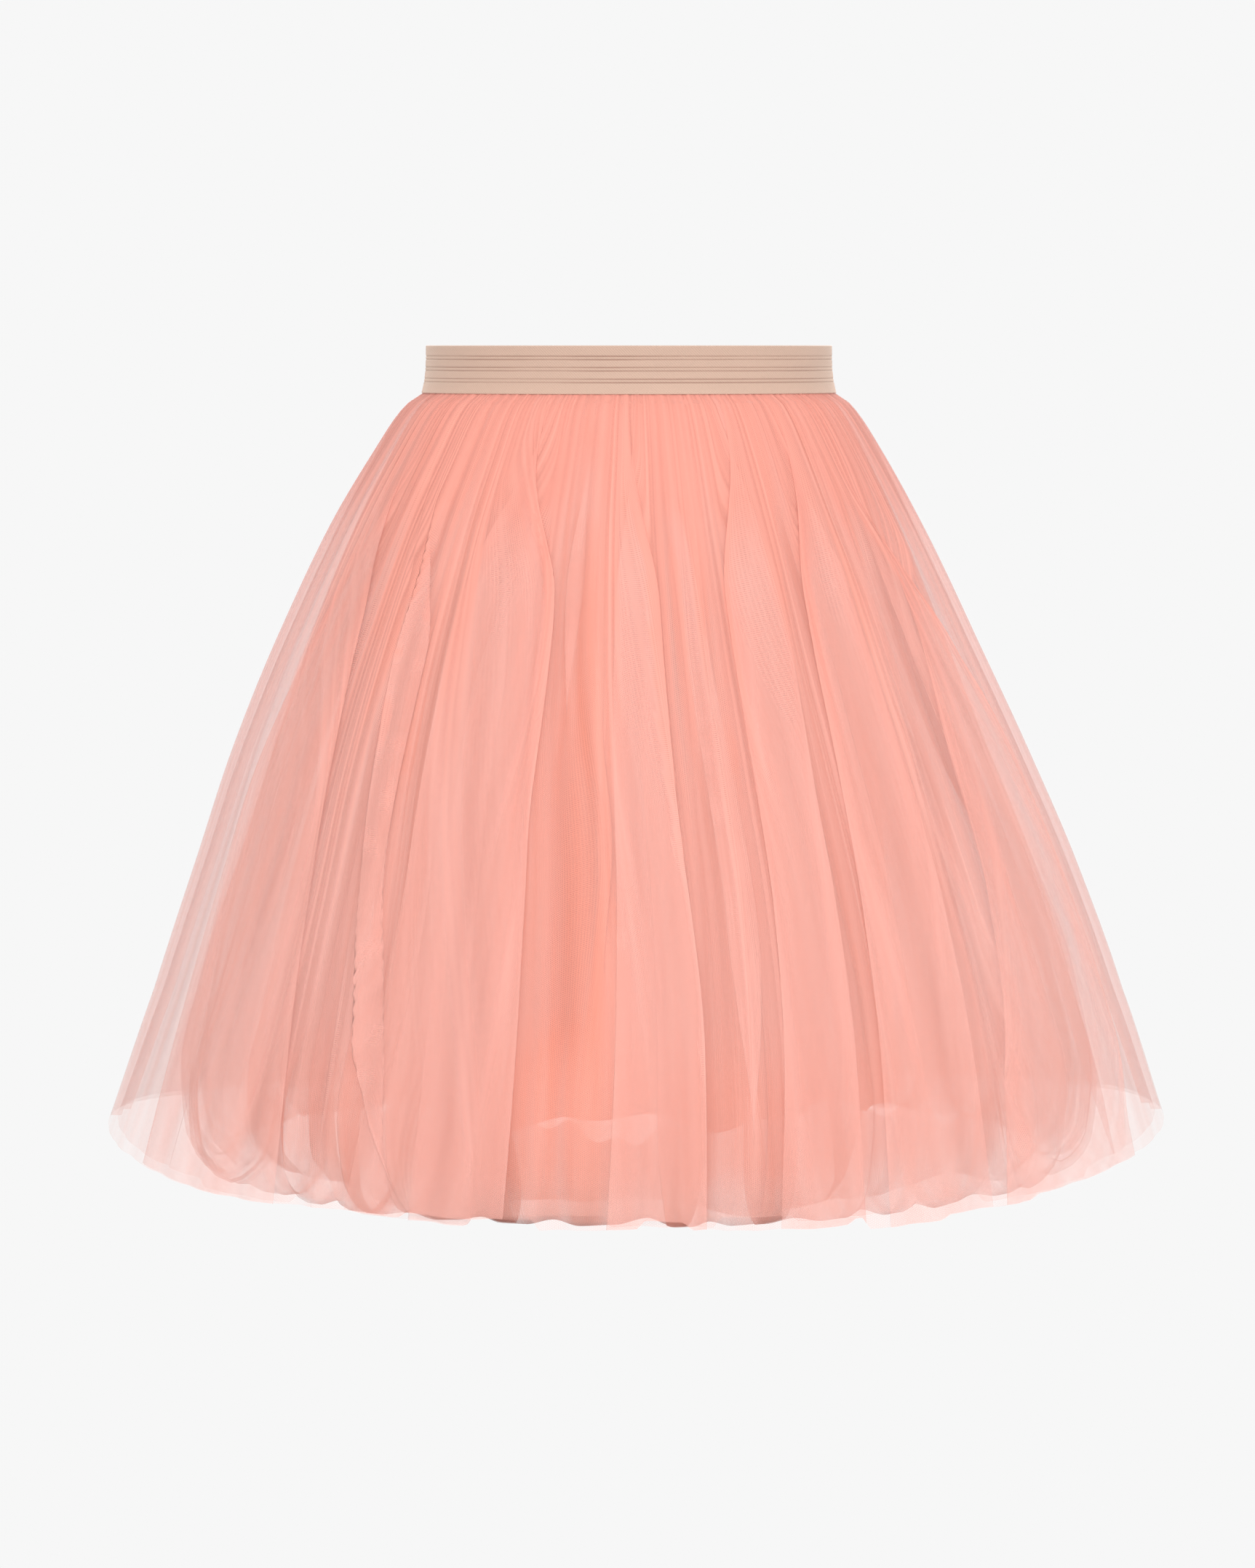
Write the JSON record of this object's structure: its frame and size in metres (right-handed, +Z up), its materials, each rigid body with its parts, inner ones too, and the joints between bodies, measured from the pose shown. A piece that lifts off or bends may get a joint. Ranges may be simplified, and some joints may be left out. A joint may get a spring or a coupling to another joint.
{
  "type": "tulle skirt",
  "caption": "Full knee-length tulle skirt in its worn round form: striped elastic waistband, slip, a puffed layer turned under at the hem and a longer sheer layer over it.",
  "frame": {"origin": "middle of the waist opening, halfway up the elastic waistband", "axes": "+Z up along the wearer, front of the skirt towards -Y, +X to the viewer's right"},
  "size_m": [0.6802, 0.5765, 0.518],
  "materials": {
    "striped_elastic": "flat woven elastic with fine double lines",
    "outer_tulle": "sheer soft tulle",
    "puffed_tulle": "sheer soft tulle in several layers",
    "slip": "opaque lining cloth with a faint sheen"
  },
  "bodies": {
    "root": {"waistband": "striped_elastic", "outer_tulle_front": "outer_tulle", "outer_tulle_back": "outer_tulle", "puff_tulle_front": "puffed_tulle", "puff_tulle_back": "puffed_tulle", "slip_front": "slip", "slip_back": "slip"}
  },
  "joints": []
}
